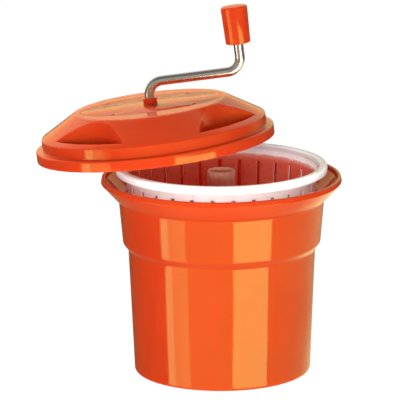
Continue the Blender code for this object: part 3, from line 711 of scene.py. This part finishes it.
def makeCrankArm(shape):
    throw = crankThrow() / mm
    tip = gripShape["low"] + 41.0
    arm, bend, rod = shape["armHeight"], shape["bend"], shape["rod"]
    path = [(0, shape["foot"], rod - 0.5), (0, shape["foot"] + 0.5, rod), (0, 45, rod), (0, arm - bend, rod)]
    for k in range(1, shape["bendSteps"] + 1):
        a = tau / 4 * k / shape["bendSteps"]
        path.append((bend * (1 - math.cos(a)), arm - bend + bend * math.sin(a), rod))
    for k in range(shape["bendSteps"] + 1):
        a = tau / 4 * k / shape["bendSteps"]
        path.append((throw - bend + bend * math.sin(a), arm + bend * (1 - math.cos(a)), rod))
    path += [(throw, tip - 4, rod), (throw, tip - 3.9, 5.4), (throw, tip - 2.5, 5.4), (throw, tip - 2.4, rod)]
    path += [(throw, tip - 0.8, rod), (throw, tip, rod - 0.8)]
    rows = []
    for i, (x, z, radius) in enumerate(path):
        ahead = Vector(path[min(i + 1, len(path) - 1)][:2]) - Vector(path[max(i - 1, 0)][:2])
        across = Vector((-ahead.y, ahead.x)).normalized()
        ring = []
        for k in range(shape["sides"]):
            a = tau * k / shape["sides"]
            lift = radius * math.cos(a)
            ring.append(((x + across.x * lift) * mm, radius * math.sin(a) * mm, (z + across.y * lift) * mm))
        rows.append(ring)
    bm = gridSkin(rows, False)
    bm.verts.ensure_lookup_table()
    bm.faces.new(bm.verts[:shape["sides"]])
    bm.faces.new(bm.verts[-shape["sides"]:])
    return makePiece("crankRod", bm, crankPlace, stainless, "crank", ["crank_arm"], 30)


collarShape = {"inner": 7.05, "outer": 9.7, "height": 8.5, "gap": 0.3}


def makeCollar(shape):
    low = lidShape["top"] + shape["gap"]
    high, inner, outer = low + shape["height"], shape["inner"], shape["outer"]
    profile = inMm([(inner, low, 0.2), (outer, low, 0.3), (outer, high, 0.9), (inner, high, 0.4)])
    return makePiece("crankCollar", lathe(roundPath(profile), 96), crankPlace, redOrangePlastic, "crank",
                     ["crank_collar"])


def makeGrip(shape):
    low, top = shape["low"], shape["low"] + shape["height"]
    corners = [(shape["bore"], low, 0.6), (shape["lowRadius"], low, 1.8),
               (shape["topRadius"], top - 1.6, 2.6), (10, top - 0.4, 30), (0, top, 0),
               (0, low + shape["roof"], 0), (shape["bore"], low + shape["roof"], 1)]
    place = crankPlace @ Matrix.Translation((crankThrow(), 0, 0))
    return makePiece("handGrip", lathe(roundPath(inMm(corners)), 96), place, orangePlastic, "grip",
                     ["grip"])


stageSet = {
    "floor": (0.3, 0.3, 0.3), "glow": 0.92, "floorSize": 40.0, "floorHeight": -0.0004,
    "camera": (0.0, -4.819, 1.378), "aim": (-0.0297, 0.0, 0.2413), "roll": -0.44, "lens": 321.2,
}


def makeStage(settings):
    bm = bmesh.new()
    half = settings["floorSize"] / 2
    spots = ((-half, -half), (half, -half), (half, half), (-half, half))
    corners = [bm.verts.new((x, y, settings["floorHeight"])) for x, y in spots]
    bm.faces.new(corners)
    mesh = bpy.data.meshes.new("floor")
    bm.to_mesh(mesh)
    bm.free()
    floor = bpy.data.objects.new("floor", mesh)
    bpy.context.collection.objects.link(floor)
    material, tree, shader = newMaterial("paleFloor")
    shader.inputs["Base Color"].default_value = (*settings["floor"], 1)
    shader.inputs["Emission Color"].default_value = (1, 1, 1, 1)
    shader.inputs["Emission Strength"].default_value = settings["glow"]
    shader.inputs["Roughness"].default_value = 0.9
    shader.inputs["Specular IOR Level"].default_value = 0.0
    mesh.materials.append(material)
    floor.visible_glossy = False


def areaLight(name, place, target, size, energy, colour=(1, 1, 1), sizeY=None):
    light = bpy.data.lights.new(name, "AREA")
    light.energy = energy
    light.color = colour
    light.size = size
    if sizeY:
        light.shape = "RECTANGLE"
        light.size_y = sizeY
    thing = bpy.data.objects.new(name, light)
    bpy.context.collection.objects.link(thing)
    thing.location = place
    thing.rotation_euler = (Vector(target) - Vector(place)).to_track_quat("-Z", "Y").to_euler()
    thing.visible_camera = False
    return thing


# A place round the object; azimuth 0 is in front, positive to the right, in degrees.
def polar(azimuth, distance, z):
    a = math.radians(azimuth)
    return (distance * math.sin(a), -distance * math.cos(a), z)


lightSet = {
    "right": {"azimuth": 36, "distance": 1.7, "height": -0.3, "width": 1.35, "tall": 1.2, "watts": 25},
    "left": {"azimuth": -57, "distance": 1.6, "height": -0.35, "width": 0.85, "tall": 1.2, "watts": 6.5},
    "leftEdge": {"azimuth": -68, "distance": 1.55, "height": -0.35, "width": 0.28, "tall": 1.2, "watts": 2.2},
    "fillPlace": (-0.2, -2.3, 0.42), "fillSize": 3.2, "fillTall": 0.5, "fillWatts": 52,
    "topPlace": (-0.9, 1.7, 1.7), "topSize": 1.2, "topWatts": 100,
    "wallPlace": (-0.1, -2.0, 1.15), "wallSize": 1.2, "wallWatts": 48,
    "glowColour": (1.0, 0.07, 0.04), "glowSize": 0.16, "glowWatts": 0.35,
    "ambient": 0.14, "backdrop": 0.88, "room": 0.3, "table": 1.35, "tableRight": 0.7, "tableNear": 0.5,
    "tableSlant": -0.6,
    "lowBackdrop": (1.0, 0.86, 0.45), "highBackdrop": (1.0, 1.0, 1.0),
}


def makeLights(settings, litPieces):
    linked = {}
    for light, names in litPieces.items():
        linked[light] = bpy.data.collections.new(light + "Pieces")
        for name in names:
            linked[light].objects.link(bpy.data.objects[name])
    for name in ("right", "left", "leftEdge"):
        box = settings[name]
        place = polar(box["azimuth"], box["distance"], box["height"])
        areaLight(name + "Softbox", place, (0, 0, 0.15), box["width"], box["watts"], sizeY=box["tall"])
    for name in ("fill", "top", "wall"):
        size, watts = settings[name + "Size"], settings[name + "Watts"]
        tall = settings["fillTall"] if name == "fill" else None
        light = areaLight(name + "Light", settings[name + "Place"], (0, 0, 0.25), size, watts, sizeY=tall)
        light.visible_glossy = False
        if name in linked:
            light.light_linking.receiver_collection = linked[name]
    # daylight that comes through the bucket's wall and tints the basket's inside
    glow = areaLight("wallGlow", (0, 0, 0.05), (0, 0, 1), settings["glowSize"], settings["glowWatts"],
                     settings["glowColour"])
    glow.visible_glossy = False
    world = bpy.data.worlds.new("studio")
    bpy.context.scene.world = world
    world.use_nodes = True
    tree = world.node_tree
    sky = tree.nodes["Background"]
    seen = addNode(tree, "ShaderNodeBackground", Strength=1.0)
    seen.inputs["Color"].default_value = (1, 1, 1, 1)
    where = addNode(tree, "ShaderNodeTexCoord")
    split = addNode(tree, "ShaderNodeSeparateXYZ")
    tree.links.new(where.outputs["Generated"], split.inputs["Vector"])
    # a pale backdrop behind, a white table below that ends short of the left, and a dark room in front
    across, depth, height = (split.outputs[axis] for axis in "XYZ")
    backdrop = mapRange(tree, depth, settings["ambient"], settings["backdrop"], 0.2, 0.8)
    backdrop = multiply(tree, backdrop, mapRange(tree, height, settings["ambient"], 1, -0.12, 0.04))
    slant = addNode(tree, "ShaderNodeMath", operation="MULTIPLY_ADD")
    slant.inputs[1].default_value = settings["tableSlant"]
    tree.links.new(depth, slant.inputs[0])
    tree.links.new(across, slant.inputs[2])
    table = multiply(tree, mapRange(tree, height, settings["table"], 0, -0.34, -0.22),
                     mapRange(tree, slant.outputs["Value"], 0, 1, -0.9, -0.2))
    table = multiply(tree, table, mapRange(tree, across, 1, settings["tableRight"], 0.1, 0.8))
    table = multiply(tree, table, mapRange(tree, height, settings["tableNear"], 1, -0.8, -0.5))
    roomFloor, roomCeiling = mapRange(tree, height, 0, 1, -0.1, 0.1), mapRange(tree, height, 1, 0, 0.5, 0.8)
    roomHeight = multiply(tree, roomFloor, roomCeiling)
    room = multiply(tree, mapRange(tree, depth, settings["room"], 0, -0.4, 0), roomHeight)
    total = addNode(tree, "ShaderNodeMath", operation="ADD")
    tree.links.new(backdrop, total.inputs[0])
    tree.links.new(table, total.inputs[1])
    strength = addNode(tree, "ShaderNodeMath", operation="ADD")
    tree.links.new(total.outputs["Value"], strength.inputs[0])
    tree.links.new(room, strength.inputs[1])
    tree.links.new(strength.outputs["Value"], sky.inputs["Strength"])
    rise = mapRange(tree, height, 0, 1, 0.2, 0.5)
    tint = mixColour(tree, rise, settings["lowBackdrop"], settings["highBackdrop"])
    tree.links.new(tint, sky.inputs["Color"])
    path = addNode(tree, "ShaderNodeLightPath")
    mix = addNode(tree, "ShaderNodeMixShader")
    tree.links.new(path.outputs["Is Camera Ray"], mix.inputs["Fac"])
    tree.links.new(sky.outputs["Background"], mix.inputs[1])
    tree.links.new(seen.outputs["Background"], mix.inputs[2])
    tree.links.new(mix.outputs["Shader"], tree.nodes["World Output"].inputs["Surface"])


def makeCamera(settings):
    data = bpy.data.cameras.new("camera")
    camera = bpy.data.objects.new("camera", data)
    bpy.context.collection.objects.link(camera)
    data.lens = settings["lens"]
    data.sensor_width = 36
    data.clip_end = 100
    data.dof.use_dof = False
    back = (Vector(settings["camera"]) - Vector(settings["aim"])).normalized()
    right = Vector((0, 0, 1)).cross(back).normalized()
    up = back.cross(right)
    place = Matrix((right, up, back)).transposed().to_4x4()
    roll = Matrix.Rotation(math.radians(settings["roll"]), 4, "Z")
    camera.matrix_world = Matrix.Translation(settings["camera"]) @ place @ roll
    bpy.context.scene.camera = camera


makeCamera(stageSet)
dressCadNodes()
makeBucket(bucketShape)
makeBasket(basketShape)
makeColumn(columnShape)
print("bucket and basket made")
makeLid(lidShape)
makeTopPlate(plateShape)
makeCoverScrews(screwShape)
print("lid made")
makeCrankArm(crankShape)
makeCollar(collarShape)
makeGrip(gripShape)
print("crank made")
makeStage(stageSet)
makeLights(lightSet, {
    "top": ("lidDome", "ovalCover", "crankCollar", "crankRod", "handGrip"),
    "wall": ("basketBowl",),
})
bpy.context.scene.view_settings.view_transform = "Standard"
